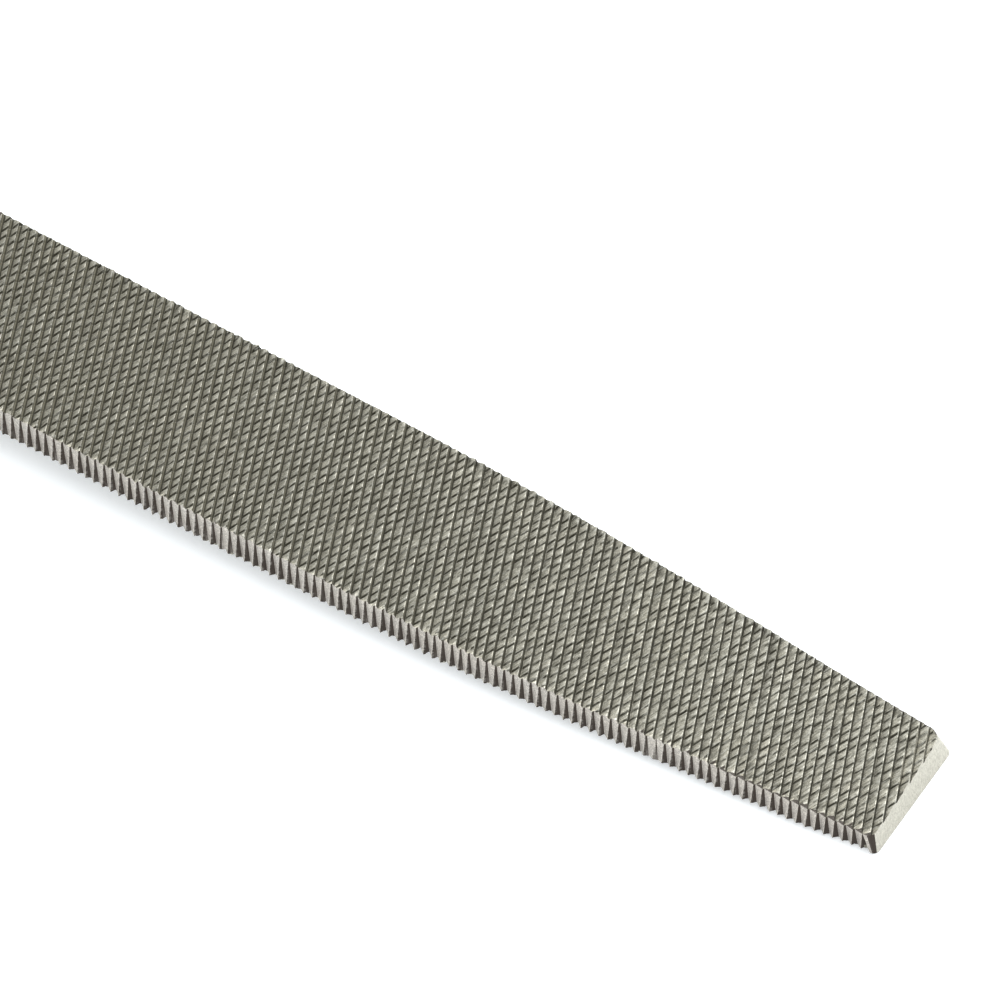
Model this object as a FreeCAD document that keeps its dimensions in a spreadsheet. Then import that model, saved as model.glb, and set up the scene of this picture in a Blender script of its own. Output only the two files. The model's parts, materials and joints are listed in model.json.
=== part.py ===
import FreeCAD, Part
import math
import os

import Sketcher

# A hand file for metalwork: a hardened blade with a tang, and a turned wooden handle with a
# steel ferrule that is driven onto the tang.
#
# Each piece is drawn in the file's own frame: X runs along the file's axis towards the point,
# X = 0 is the heel where the full width of the blade ends, and Y = 0 and Z = 0 are the planes
# of symmetry. One common placement then lays the whole file on the ground plane Z = 0, where
# it rests on the handle's belly and on the lower edge of the point.

# Driving sizes in millimetres: alias, value, what it measures.
SIZES = (
    ("blade_length", 200.0, "heel to point, without the tang"),
    ("blade_width", 20.0, "over the teeth of both edges, at the parallel stretch"),
    ("blade_thickness", 4.6, "over the teeth of both faces, at the parallel stretch"),
    ("point_width", 13.4, "at the end face, before its corners are rounded"),
    ("point_thickness", 4.1, "at the end face"),
    ("point_corner_radius", 0.05, "plan corners of the point"),
    ("taper_length", 65.0, "from the point to where the edges start to bend in"),
    ("taper_straight", 30.0, "straight tapering stretch next to the point"),
    ("face_taper_length", 60.0, "from the point to where the faces start to close"),
    ("tang_length", 60.0, "heel to the end of the tang"),
    ("shoulder_length", 9.0, "curved run from the full width down to the tang's root"),
    ("tang_root_width", 9.0, "tang at the end of the shoulder"),
    ("tang_end_width", 4.2, "tang at its end"),
    ("tang_end_thickness", 2.4, "tang at its end"),
    ("tang_edge_chamfer", 0.4, "bevel around the tang's end"),
    ("handle_gap", 14.0, "heel to the ferrule's front"),
    ("handle_length", 110.0, "ferrule's front to the butt"),
    ("handle_diameter", 31.0, "largest diameter of the belly"),
    ("belly_from_butt", 38.0, "butt to the largest diameter"),
    ("butt_radius", 13.0, "rounded end of the handle"),
    ("wood_step", 0.6, "wood standing proud of the ferrule"),
    ("wood_edge_radius", 0.5, "rounding of that step, less than the step"),
    ("ferrule_length", 16.0, "over the lip"),
    ("ferrule_diameter", 19.5, "outside"),
    ("ferrule_wall", 0.9, "sleeve and lip"),
    ("lip_bore", 13.5, "opening that the tang passes through"),
    ("lip_radius", 0.8, "outer edge of the lip, less than the wall"),
    ("dimple_radius", 2.4, "round nose of the punch that stakes the ferrule"),
    ("dimple_depth", 0.5, "less than the wall"),
    ("dimple_from_rear", 5.0, "ferrule's rear edge to the dimples"),
    ("socket_clearance", 0.12, "tang to socket, on each side"),
    ("socket_end_clearance", 3.0, "tang's end to the bottom of the socket"),
)

DIMPLE_COUNT = 2
SHEET = "Sizes"

# How far along the shoulder's run and drop the sketch solver is given a point of its arc. The
# constraints then place the arc exactly, so this only has to lie on the hollow side.
SHOULDER_GUESS = 0.3


class Formula:
    """A number together with the sheet expression that gives it."""

    def __init__(self, value, text):
        self.value = value
        self.text = text

    def __add__(self, other):
        other = as_formula(other)
        return Formula(self.value + other.value, f"({self.text} + {other.text})")

    def __sub__(self, other):
        other = as_formula(other)
        return Formula(self.value - other.value, f"({self.text} - {other.text})")

    def __mul__(self, other):
        other = as_formula(other)
        return Formula(self.value * other.value, f"{self.text} * {other.text}")

    def __truediv__(self, other):
        other = as_formula(other)
        return Formula(self.value / other.value, f"({self.text}) / ({other.text})")

    def __neg__(self):
        return Formula(-self.value, f"(-1 * {self.text})")


def as_formula(number):
    if isinstance(number, Formula):
        return number
    return Formula(float(number), str(number))


def root(term):
    return Formula(math.sqrt(term.value), f"sqrt({term.text})")


def sine(angle):
    return Formula(math.sin(math.radians(angle.value)), f"sin({angle.text})")


def cosine(angle):
    return Formula(math.cos(math.radians(angle.value)), f"cos({angle.text})")


def arc_sine(ratio):
    return Formula(math.degrees(math.asin(ratio.value)), f"asin({ratio.text})")


def arc_tangent(ratio):
    return Formula(math.degrees(math.atan(ratio.value)), f"atan({ratio.text})")


def make_sheet(document):
    """Writes the driving sizes, and returns a Formula for each alias."""
    sheet = document.addObject("Spreadsheet::Sheet", SHEET)
    terms = {}
    for row, (alias, value, note) in enumerate(SIZES, start=1):
        sheet.set(f"A{row}", alias)
        sheet.set(f"B{row}", str(value))
        sheet.set(f"C{row}", note)
        sheet.setAlias(f"B{row}", alias)
        terms[alias] = Formula(value, f"{SHEET}.{alias}")
    document.recompute()
    return terms


def bind(thing, path, term):
    thing.setExpression(path, term.text)


def origin_feature(body, role):
    return next(item for item in body.Origin.OriginFeatures if item.Role == role)


def new_sketch(body, name, plane_role):
    sketch = body.newObject("Sketcher::SketchObject", name)
    sketch.AttachmentSupport = [(origin_feature(body, plane_role), "")]
    sketch.MapMode = "FlatFace"
    return sketch


def vector(x, y):
    return FreeCAD.Vector(x.value, y.value, 0)


def pin_point(sketch, piece, end, x=None, y=None):
    """Holds one end of a sketch line or arc at the given distances from the origin."""
    for kind, term in (("DistanceX", x), ("DistanceY", y)):
        if term is None:
            continue
        index = sketch.addConstraint(Sketcher.Constraint(kind, -1, 1, piece, end, term.value))
        bind(sketch, f"Constraints[{index}]", term)


def draw_outline(sketch, corners, curves):
    """Closed outline: a line from each corner to the next, or an arc through the curve's point."""
    count = len(corners)
    for index, corner in enumerate(corners):
        following = corners[(index + 1) % count]
        if index in curves:
            piece = Part.Arc(vector(*corner), vector(*curves[index]), vector(*following))
        else:
            piece = Part.LineSegment(vector(*corner), vector(*following))
        sketch.addGeometry(piece, False)


def draw_polygon(sketch, corners):
    """Closed outline of straight lines with every corner held in place."""
    first = sketch.GeometryCount
    count = len(corners)
    draw_outline(sketch, corners, {})
    for index, corner in enumerate(corners):
        before = first + (index - 1) % count
        sketch.addConstraint(Sketcher.Constraint("Coincident", before, 2, first + index, 1))
        pin_point(sketch, first + index, 1, corner[0], corner[1])


def join(sketch, piece, end, other, other_end):
    sketch.addConstraint(Sketcher.Constraint("Coincident", piece, end, other, other_end))


def join_smoothly(sketch, piece, end, other, other_end):
    sketch.addConstraint(Sketcher.Constraint("Tangent", piece, end, other, other_end))


def edges_where(shape, test):
    """Names of the edges whose middle point passes the test."""
    names = []
    for number, edge in enumerate(shape.Edges, start=1):
        middle = edge.valueAt((edge.FirstParameter + edge.LastParameter) / 2)
        if test(edge, middle):
            names.append(f"Edge{number}")
    return names


def near(value, term, reach=0.01):
    return abs(value - term.value) < reach


def dress_edges(body, kind, base, edges, property_name, term):
    """Adds a fillet or a chamfer to the named edges of a feature."""
    feature = body.newObject(f"PartDesign::{kind}", kind)
    feature.Base = (base, edges)
    bind(feature, property_name, term)
    body.Tip = feature
    return feature


def mirror_feature(body, name, original, plane_role):
    mirrored = body.newObject("PartDesign::Mirrored", name)
    mirrored.Originals = [original]
    mirrored.MirrorPlane = (origin_feature(body, plane_role), [""])
    body.Tip = mirrored
    return mirrored


def half(term):
    return term / 2


# ---------------------------------------------------------------- blade and tang


def draw_half_plan(body, term):
    """Half of the blade's plan outline, from the point to the end of the tang."""
    sketch = new_sketch(body, "plan_half", "XY_Plane")
    zero = as_formula(0)
    point_x = term["blade_length"]
    point_y = half(term["point_width"])
    side_y = half(term["blade_width"])
    bend_x = point_x - term["taper_length"]
    straight_x = point_x - term["taper_straight"]
    root_x = -term["shoulder_length"]
    root_y = half(term["tang_root_width"])
    end_x = -term["tang_length"]
    end_y = half(term["tang_end_width"])

    # The bend is tangent to the parallel side and to the straight taper, so its drop is known.
    bend_run = term["taper_length"] - term["taper_straight"]
    slope = (side_y - point_y) / (term["taper_straight"] + half(bend_run))
    straight_y = point_y + slope * term["taper_straight"]
    quarter_y = side_y - (side_y - straight_y) / 4

    corners = (
        (point_x, zero),
        (point_x, point_y),
        (straight_x, straight_y),
        (bend_x, side_y),
        (zero, side_y),
        (root_x, root_y),
        (end_x, end_y),
        (end_x, zero),
    )
    bend_middle = ((bend_x + straight_x) / 2, quarter_y)
    shoulder_middle = (root_x * SHOULDER_GUESS, root_y + (side_y - root_y) * SHOULDER_GUESS)
    draw_outline(sketch, corners, {2: bend_middle, 4: shoulder_middle})

    end_line, taper, bend, side, shoulder, tang_side, tang_end, middle_line = range(len(corners))
    # Part.Arc keeps its direction of turn, so a clockwise arc has its ends the other way round.
    bend_from, bend_to = arc_ends(sketch, bend, corners[2])
    shoulder_from, shoulder_to = arc_ends(sketch, shoulder, corners[4])
    join(sketch, end_line, 2, taper, 1)
    join_smoothly(sketch, taper, 2, bend, bend_from)
    join_smoothly(sketch, bend, bend_to, side, 1)
    join(sketch, side, 2, shoulder, shoulder_from)
    join_smoothly(sketch, shoulder, shoulder_to, tang_side, 1)
    join(sketch, tang_side, 2, tang_end, 1)
    join(sketch, tang_end, 2, middle_line, 1)
    join(sketch, middle_line, 2, end_line, 1)

    pin_point(sketch, end_line, 1, point_x, zero)
    pin_point(sketch, taper, 1, point_x, point_y)
    pin_point(sketch, taper, 2, straight_x)
    pin_point(sketch, side, 1, bend_x, side_y)
    pin_point(sketch, side, 2, zero, side_y)
    pin_point(sketch, tang_side, 1, root_x, root_y)
    pin_point(sketch, tang_end, 1, end_x, end_y)
    pin_point(sketch, middle_line, 1, end_x, zero)
    return sketch


def arc_ends(sketch, piece, start):
    """Which end of an arc lies at start, and which is the other."""
    if sketch.getPoint(piece, 1).distanceToPoint(vector(*start)) < 0.001:
        return 1, 2
    return 2, 1


def draw_face_relief(body, term):
    """What is taken off above the blade's upper face: at the point and along the tang."""
    sketch = new_sketch(body, "face_relief", "XZ_Plane")
    face_z = half(term["blade_thickness"])
    outside_z = term["blade_thickness"]
    point_x = term["blade_length"]
    beyond_point = point_x + term["blade_thickness"]
    beyond_tang = -term["tang_length"] - term["blade_thickness"]
    point_z = half(term["point_thickness"])
    tang_z = half(term["tang_end_thickness"])
    closing_x = point_x - term["face_taper_length"]
    root_x = -term["shoulder_length"]
    draw_polygon(
        sketch,
        (
            (closing_x, face_z),
            (point_x, point_z),
            (beyond_point, point_z),
            (beyond_point, outside_z),
            (closing_x, outside_z),
        ),
    )
    draw_polygon(
        sketch,
        (
            (root_x, face_z),
            (root_x, outside_z),
            (beyond_tang, outside_z),
            (beyond_tang, tang_z),
            (-term["tang_length"], tang_z),
        ),
    )
    return sketch


def make_blade(document, term):
    body = document.addObject("PartDesign::Body", "file_blade")
    body.Label = "file_blade"

    pad = body.newObject("PartDesign::Pad", "blade_half")
    pad.Profile = draw_half_plan(body, term)
    pad.SideType = "Symmetric"
    bind(pad, "Length", term["blade_thickness"])
    body.Tip = pad
    mirror_feature(body, "other_half", pad, "XZ_Plane")
    document.recompute()

    relief = body.newObject("PartDesign::Pocket", "upper_relief")
    relief.Profile = draw_face_relief(body, term)
    relief.SideType = "Symmetric"
    relief.Type = "ThroughAll"
    body.Tip = relief
    lower = mirror_feature(body, "lower_relief", relief, "XY_Plane")
    document.recompute()

    corners = edges_where(
        lower.Shape,
        lambda edge, middle: near(middle.x, term["blade_length"])
        and near(abs(middle.y), half(term["point_width"])),
    )
    rounded = dress_edges(body, "Fillet", lower, corners, "Radius", term["point_corner_radius"])
    document.recompute()
    tang_end = edges_where(
        rounded.Shape,
        lambda edge, middle: near(middle.x, -term["tang_length"]),
    )
    dress_edges(body, "Chamfer", rounded, tang_end, "Size", term["tang_edge_chamfer"])
    return body


# ---------------------------------------------------------------- ferrule


def ferrule_planes(term):
    """X of the ferrule's front, of the wood behind its lip, and of its rear edge."""
    front = -term["handle_gap"]
    return front, front - term["ferrule_wall"], front - term["ferrule_length"]


def spin(body, name, sketch):
    """Turns a sketch of the XZ plane once round the file's axis."""
    solid = body.newObject("PartDesign::Revolution", name)
    solid.Profile = sketch
    solid.ReferenceAxis = (sketch, ["H_Axis"])
    solid.Angle = 360
    body.Tip = solid
    return solid


def make_ferrule(document, term):
    body = document.addObject("PartDesign::Body", "ferrule")
    body.Label = "ferrule"
    front, wood_front, rear = ferrule_planes(term)
    outside = half(term["ferrule_diameter"])
    inside = outside - term["ferrule_wall"]
    bore = half(term["lip_bore"])
    profile = new_sketch(body, "ferrule_section", "XZ_Plane")
    draw_polygon(
        profile,
        (
            (front, bore),
            (front, outside),
            (rear, outside),
            (rear, inside),
            (wood_front, inside),
            (wood_front, bore),
        ),
    )
    sleeve = spin(body, "sleeve", profile)
    document.recompute()

    lip_edge = edges_where(
        sleeve.Shape,
        lambda edge, middle: near(middle.x, front) and near(radius_at(middle), outside),
    )
    rounded = dress_edges(body, "Fillet", sleeve, lip_edge, "Radius", term["lip_radius"])
    document.recompute()

    dimple = body.newObject("PartDesign::SubtractiveSphere", "dimple")
    bind(dimple, "Radius", term["dimple_radius"])
    bind(dimple, "Placement.Base.x", rear + term["dimple_from_rear"])
    bind(
        dimple,
        "Placement.Base.y",
        outside + term["dimple_radius"] - term["dimple_depth"],
    )
    body.Tip = dimple
    document.recompute()
    ring = body.newObject("PartDesign::PolarPattern", "dimple_ring")
    ring.Originals = [dimple]
    ring.Axis = (origin_feature(body, "X_Axis"), [""])
    ring.Angle = 360
    ring.Occurrences = DIMPLE_COUNT
    body.Tip = ring
    document.recompute()
    if not ring.Shape.Volume < dimple.Shape.Volume < rounded.Shape.Volume:
        raise RuntimeError("a dimple has cut nothing")
    return body


def radius_at(point):
    return math.hypot(point.y, point.z)


# ---------------------------------------------------------------- handle


def belly_arc(term):
    """Run, drop and radius of the two equal arcs between the belly and the ferrule."""
    rear = ferrule_planes(term)[2]
    run = rear - belly_plane(term)
    drop = half(term["handle_diameter"]) - wood_shoulder(term)
    radius = (run * run + drop * drop) / (drop * 4)
    return run, drop, radius


def belly_plane(term):
    return term["belly_from_butt"] - term["handle_gap"] - term["handle_length"]


def wood_shoulder(term):
    return half(term["ferrule_diameter"]) + term["wood_step"]


def draw_handle_section(body, term):
    """Half section of the turned handle, from the spigot in the ferrule to the butt."""
    sketch = new_sketch(body, "handle_section", "XZ_Plane")
    zero = as_formula(0)
    wood_front, rear = ferrule_planes(term)[1:]
    spigot = half(term["ferrule_diameter"]) - term["ferrule_wall"]
    shoulder = wood_shoulder(term)
    run, drop, arc_radius = belly_arc(term)
    belly_x = belly_plane(term)
    belly_r = half(term["handle_diameter"])
    butt_x = -term["handle_gap"] - term["handle_length"]
    butt_centre = butt_x + term["butt_radius"]

    # The rear arc is tangent to the belly and to the round butt, which fixes its radius.
    butt_run = term["belly_from_butt"] - term["butt_radius"]
    rise = belly_r - term["butt_radius"]
    rear_radius = (butt_run * butt_run + rise * (belly_r + term["butt_radius"])) / (rise * 2)
    centre_gap = rear_radius - term["butt_radius"]
    meet_x = butt_centre - butt_run * term["butt_radius"] / centre_gap
    meet_r = (rear_radius - belly_r) * term["butt_radius"] / centre_gap

    # The middle of either arc of the double curve, a quarter of the run from its flat end.
    quarter = run / 4
    sag = quarter * quarter / (arc_radius * 2)
    swell_x = (rear + belly_x) / 2
    swell_r = belly_r - half(drop)
    neck_middle = (rear - quarter, shoulder + sag)
    front_middle = (belly_x + quarter, belly_r - sag)
    rear_middle_x = (belly_x + meet_x) / 2
    rear_middle_run = belly_x - rear_middle_x
    rear_middle_r = belly_r - rear_middle_run * rear_middle_run / (rear_radius * 2)
    slant = math.sqrt(0.5)
    butt_middle = (
        butt_centre - term["butt_radius"] * slant,
        term["butt_radius"] * slant,
    )

    corners = (
        (wood_front, zero),
        (wood_front, spigot),
        (rear, spigot),
        (rear, shoulder),
        (swell_x, swell_r),
        (belly_x, belly_r),
        (meet_x, meet_r),
        (butt_x, zero),
    )
    rear_middle = (rear_middle_x, rear_middle_r)
    curves = {3: neck_middle, 4: front_middle, 5: rear_middle, 6: butt_middle}
    draw_outline(sketch, corners, curves)

    face, sleeve_seat, step, neck, front, back, butt, axis = range(len(corners))
    ends = {index: arc_ends(sketch, index, corners[index]) for index in curves}
    join(sketch, face, 2, sleeve_seat, 1)
    join(sketch, sleeve_seat, 2, step, 1)
    join(sketch, step, 2, neck, ends[neck][0])
    join_smoothly(sketch, neck, ends[neck][1], front, ends[front][0])
    join(sketch, front, ends[front][1], back, ends[back][0])
    join_smoothly(sketch, back, ends[back][1], butt, ends[butt][0])
    join(sketch, butt, ends[butt][1], axis, 1)
    join(sketch, axis, 2, face, 1)

    centre = 3
    pin_point(sketch, face, 1, wood_front, zero)
    pin_point(sketch, sleeve_seat, 1, wood_front, spigot)
    pin_point(sketch, step, 1, rear, spigot)
    pin_point(sketch, step, 2, rear, shoulder)
    pin_point(sketch, neck, centre, rear)
    pin_point(sketch, front, centre, belly_x)
    pin_point(sketch, front, ends[front][1], belly_x, belly_r)
    pin_point(sketch, back, centre, belly_x)
    pin_point(sketch, butt, centre, butt_centre, zero)
    pin_point(sketch, axis, 1, butt_x, zero)
    sketch.addConstraint(Sketcher.Constraint("Equal", neck, front))
    return sketch


def draw_socket_section(body, name, plane_x, width, height):
    """A rectangle about the axis, across the file at plane_x."""
    sketch = new_sketch(body, name, "YZ_Plane")
    bind(sketch, "AttachmentOffset.Base.z", plane_x)
    right = half(width)
    top = half(height)
    draw_polygon(sketch, ((right, top), (-right, top), (-right, -top), (right, -top)))
    return sketch


def make_handle(document, term):
    body = document.addObject("PartDesign::Body", "handle")
    body.Label = "handle"
    turned = spin(body, "turned_handle", draw_handle_section(body, term))
    document.recompute()

    rear = ferrule_planes(term)[2]
    step_edge = edges_where(
        turned.Shape,
        lambda edge, middle: near(middle.x, rear) and near(radius_at(middle), wood_shoulder(term)),
    )
    eased = dress_edges(body, "Fillet", turned, step_edge, "Radius", term["wood_edge_radius"])
    document.recompute()

    # The socket follows the tang's own taper, one clearance away on each side.
    taper_run = term["tang_length"] - term["shoulder_length"]
    width_rate = (term["tang_root_width"] - term["tang_end_width"]) / taper_run
    height_rate = (term["blade_thickness"] - term["tang_end_thickness"]) / taper_run
    play = term["socket_clearance"] * 2
    past_end = term["socket_end_clearance"]
    mouth = draw_socket_section(
        body,
        "socket_mouth",
        -term["shoulder_length"],
        term["tang_root_width"] + play,
        term["blade_thickness"] + play,
    )
    bottom = draw_socket_section(
        body,
        "socket_bottom",
        -term["tang_length"] - past_end,
        term["tang_end_width"] - width_rate * past_end + play,
        term["tang_end_thickness"] - height_rate * past_end + play,
    )
    socket = body.newObject("PartDesign::SubtractiveLoft", "tang_socket")
    socket.Profile = mouth
    socket.Sections = [bottom]
    body.Tip = socket
    document.recompute()
    if not socket.Shape.Volume < eased.Shape.Volume:
        raise RuntimeError("the socket has cut nothing")
    return body


# ---------------------------------------------------------------- the file at rest


def lay_on_ground(bodies, term):
    """Tilts the file about Y until the belly and the point's lower edge touch Z = 0."""
    arc_radius = belly_arc(term)[2]
    belly_x = belly_plane(term)
    point_x = term["blade_length"]
    point_z = half(term["point_thickness"])
    reach = point_x - belly_x
    depth = arc_radius - half(term["handle_diameter"]) + point_z
    distance = root(reach * reach + depth * depth)
    tilt = arc_sine(arc_radius / distance) - arc_tangent(depth / reach)

    butt_centre = term["butt_radius"] - term["handle_gap"] - term["handle_length"]
    highest_x = point_x * cosine(tilt) + point_z * sine(tilt)
    lowest_x = butt_centre * cosine(tilt) - term["butt_radius"]
    for body in bodies:
        body.Placement = FreeCAD.Placement(
            FreeCAD.Vector(0, 0, 0), FreeCAD.Rotation(FreeCAD.Vector(0, 1, 0), tilt.value)
        )
        bind(body, "Placement.Rotation.Angle", tilt)
        bind(body, "Placement.Base.x", -half(highest_x + lowest_x))
        bind(body, "Placement.Base.z", point_x * sine(tilt) + point_z * cosine(tilt))


def check_document(document, bodies):
    for item in document.Objects:
        if "Invalid" in item.State or "Error" in item.State:
            raise RuntimeError(f"{item.Label} did not compute: {item.State}")
    for body in bodies:
        if body.Shape.isNull() or not body.Shape.isValid() or len(body.Shape.Solids) != 1:
            raise RuntimeError(f"{body.Label} is not one valid solid")


def main():
    document = FreeCAD.newDocument("flat_file")
    term = make_sheet(document)
    bodies = (
        make_blade(document, term),
        make_ferrule(document, term),
        make_handle(document, term),
    )
    lay_on_ground(bodies, term)
    document.recompute()
    check_document(document, bodies)
    os.makedirs("parts", exist_ok=True)
    for body in bodies:
        body.Shape.exportStep(f"parts/{body.Label}.step")
        box = body.Shape.optimalBoundingBox()
        print(f"{body.Label}: {body.Shape.Volume:.1f} mm3, X {box.XMin:.3f} to {box.XMax:.3f},"
              f" Y {box.YMin:.3f} to {box.YMax:.3f}, Z {box.ZMin:.3f} to {box.ZMax:.3f}")


main()
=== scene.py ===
"""Looks of the flat file: double-cut faces, single-cut edges, ground point, turned handle.

Every mesh is built in millimetres in the file's own frame: X runs along the axis towards the
point with X = 0 at the heel, Z is the normal of the upper face. `PLACE` then lays the meshes on
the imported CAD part.
"""

import json
import math

import bpy
import numpy as np
from mathutils import Matrix, Vector


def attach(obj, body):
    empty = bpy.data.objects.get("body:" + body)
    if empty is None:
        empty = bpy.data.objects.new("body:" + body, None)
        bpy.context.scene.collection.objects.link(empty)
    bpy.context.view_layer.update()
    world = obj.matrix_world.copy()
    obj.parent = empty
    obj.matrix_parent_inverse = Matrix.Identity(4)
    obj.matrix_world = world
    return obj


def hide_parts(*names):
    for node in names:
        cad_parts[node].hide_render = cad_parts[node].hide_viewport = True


MM = 0.001
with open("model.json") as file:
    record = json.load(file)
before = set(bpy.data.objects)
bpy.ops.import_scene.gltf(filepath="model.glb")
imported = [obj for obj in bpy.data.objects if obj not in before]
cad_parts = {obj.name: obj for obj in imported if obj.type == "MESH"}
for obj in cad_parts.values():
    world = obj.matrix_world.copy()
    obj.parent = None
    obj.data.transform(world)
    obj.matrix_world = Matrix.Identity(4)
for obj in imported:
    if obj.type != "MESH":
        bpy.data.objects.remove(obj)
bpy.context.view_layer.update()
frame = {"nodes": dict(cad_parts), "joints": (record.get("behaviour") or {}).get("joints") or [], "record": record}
record = frame["record"]

# ---------------------------------------------------------------- the file's own frame
MOUNT_STATION = 70.0
mounts = {m["name"]: m for m in record["mounts"]}
slide = frame["joints"][0]
x_dir = -Vector(slide["axis"]).normalized()
z_dir = Vector(mounts["upper_face"]["axis"]).normalized()
y_dir = z_dir.cross(x_dir)
mid = (Vector(mounts["upper_face"]["pos_m"]) + Vector(mounts["lower_face"]["pos_m"])) / 2
heel = mid - x_dir * MOUNT_STATION * MM
PLACE = Matrix(
    (
        (x_dir.x, y_dir.x, z_dir.x, heel.x),
        (x_dir.y, y_dir.y, z_dir.y, heel.y),
        (x_dir.z, y_dir.z, z_dir.z, heel.z),
        (0, 0, 0, 1),
    )
)

# ---------------------------------------------------------------- blade sizes, mm
LENGTH = 200.0
# half sizes over the teeth, along the parallel stretch and at the point
HALF_WIDTH = 10.35
POINT_HALF_WIDTH = 7.1
HALF_THICKNESS = 2.3
POINT_HALF_THICKNESS = 2.05
# how far before the point the edges and the faces start to taper. The edges bend in by an arc
# first, and the last TAPER_STRAIGHT is straight
TAPER = 65.0
TAPER_STRAIGHT = 30.0
FACE_TAPER = 60.0

# ---------------------------------------------------------------- teeth of the faces, mm
# the two rows of teeth on a face: normal that points towards the point, and spacing along it
UP_NORMAL = np.array((0.937, 0.349))
OVER_NORMAL = np.array((0.773, -0.635))
UP_NORMAL /= np.linalg.norm(UP_NORMAL)
OVER_NORMAL /= np.linalg.norm(OVER_NORMAL)
OVER_ANGLE = math.atan2(OVER_NORMAL[0], -OVER_NORMAL[1])
UP_SPACING = 0.961
OVER_SPACING = 0.922
# the upcut's first groove, and where in its tooth the plain heel ends
FIRST_UP = 6
HEEL_SHARE = 0.45
WORN_FROM = 85.0
# where a tooth's crest lies between two upcut grooves at the heel, and how much further on it is
# at the point
CREST_AT = 0.67
CREST_SHIFT = 0.19
# the upcut drags the older overcut marks along with it, so each mark lies askew in its tooth
OVER_LEAN = -0.14
# depth of either cut at the heel, and what the point adds to it or takes from it
UP_DEPTH = 0.42
UP_DEEPER = 0.02
OVER_DEPTH = 0.26
OVER_SHALLOWER = 0.35
# one overcut mark: stations from its own groove to the next, and the height at each as a share
# of its depth
OVER_STOPS = np.array((0.0, 0.16, 0.50, 0.83))
OVER_PROFILE = np.array((-1.0, -0.22, -0.12, 0.0))
# how much of the overcut is left at each station of an upcut tooth, from its foot past its crest
OVER_CARRIED = np.array((0.15, 0.8, 1.0, 1.0, 1.0, 0.55))
# stations from here on lie by the crest, and have an uneven place
CREST_STATION = 3
# along the edges some teeth were pushed up: how far, and above which random value
BURR = 0.16
BURR_ABOVE = 0.8
# the teeth get shallower over this distance from an edge, and are cut out of a slab
BORDER = 0.5
SLAB_BOTTOM = -0.6


def smooth(t):
    t = np.clip(t, 0, 1)
    return t * t * (3 - 2 * t)


def half_width(x):
    """Half of the blade's width at X: parallel, an arc, then a straight taper to the point."""
    arc_run = TAPER - TAPER_STRAIGHT
    slope = (HALF_WIDTH - POINT_HALF_WIDTH) / (TAPER_STRAIGHT + arc_run / 2)
    back = LENGTH - np.asarray(x, float)
    into_arc = np.clip((TAPER - back) / arc_run, 0, 1)
    w = HALF_WIDTH - slope * arc_run / 2 * into_arc**2
    return w - slope * np.clip(TAPER_STRAIGHT - back, 0, None)


def half_thickness(x):
    into = np.clip((x - (LENGTH - FACE_TAPER)) / FACE_TAPER, 0, None)
    return HALF_THICKNESS - (HALF_THICKNESS - POINT_HALF_THICKNESS) * into


def mesh_object(name, verts, faces):
    mesh = bpy.data.meshes.new(name)
    verts = np.ascontiguousarray(verts, np.float32)
    faces = np.ascontiguousarray(faces, np.int32)
    mesh.vertices.add(len(verts))
    mesh.vertices.foreach_set("co", verts.ravel())
    mesh.loops.add(faces.size)
    mesh.loops.foreach_set("vertex_index", faces.ravel())
    mesh.polygons.add(len(faces))
    side = faces.shape[1]
    mesh.polygons.foreach_set("loop_start", np.arange(len(faces), dtype=np.int32) * side)
    mesh.update(calc_edges=True)
    mesh.validate()
    obj = bpy.data.objects.new(name, mesh)
    bpy.context.scene.collection.objects.link(obj)
    return obj


def grid_faces(rows, columns, wrap=False):
    r, c = np.meshgrid(np.arange(rows - 1), np.arange(columns - (0 if wrap else 1)), indexing="ij")
    n = (c + 1) % columns
    quad = np.stack(
        (r * columns + c, r * columns + n, (r + 1) * columns + n, (r + 1) * columns + c), -1
    )
    return quad.reshape(-1, 4)


def combine(base, other, operation):
    """base becomes its Boolean combination with other, and other is removed."""
    mod = base.modifiers.new("combine", "BOOLEAN")
    mod.operation = operation
    mod.solver = "MANIFOLD"
    mod.object = other
    dg = bpy.context.evaluated_depsgraph_get()
    made = bpy.data.meshes.new_from_object(base.evaluated_get(dg))
    base.modifiers.clear()
    base.data = made
    bpy.data.objects.remove(other)
    return base


# ---------------------------------------------------------------- faces of the blade
def toward_point(x):
    """0 up to WORN_FROM, then rising to 1 at the point."""
    return smooth((x - WORN_FROM) / (LENGTH - WORN_FROM))


def plan_of(a, b):
    """X and Y of a place in the lattice of teeth, counted in grooves of the upcut and overcut."""
    rows = np.stack((UP_NORMAL * (1 / UP_SPACING), OVER_NORMAL * (1 / OVER_SPACING)))
    inverse = np.linalg.inv(rows)
    return inverse[0, 0] * a + inverse[0, 1] * b, inverse[1, 0] * a + inverse[1, 1] * b


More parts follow.
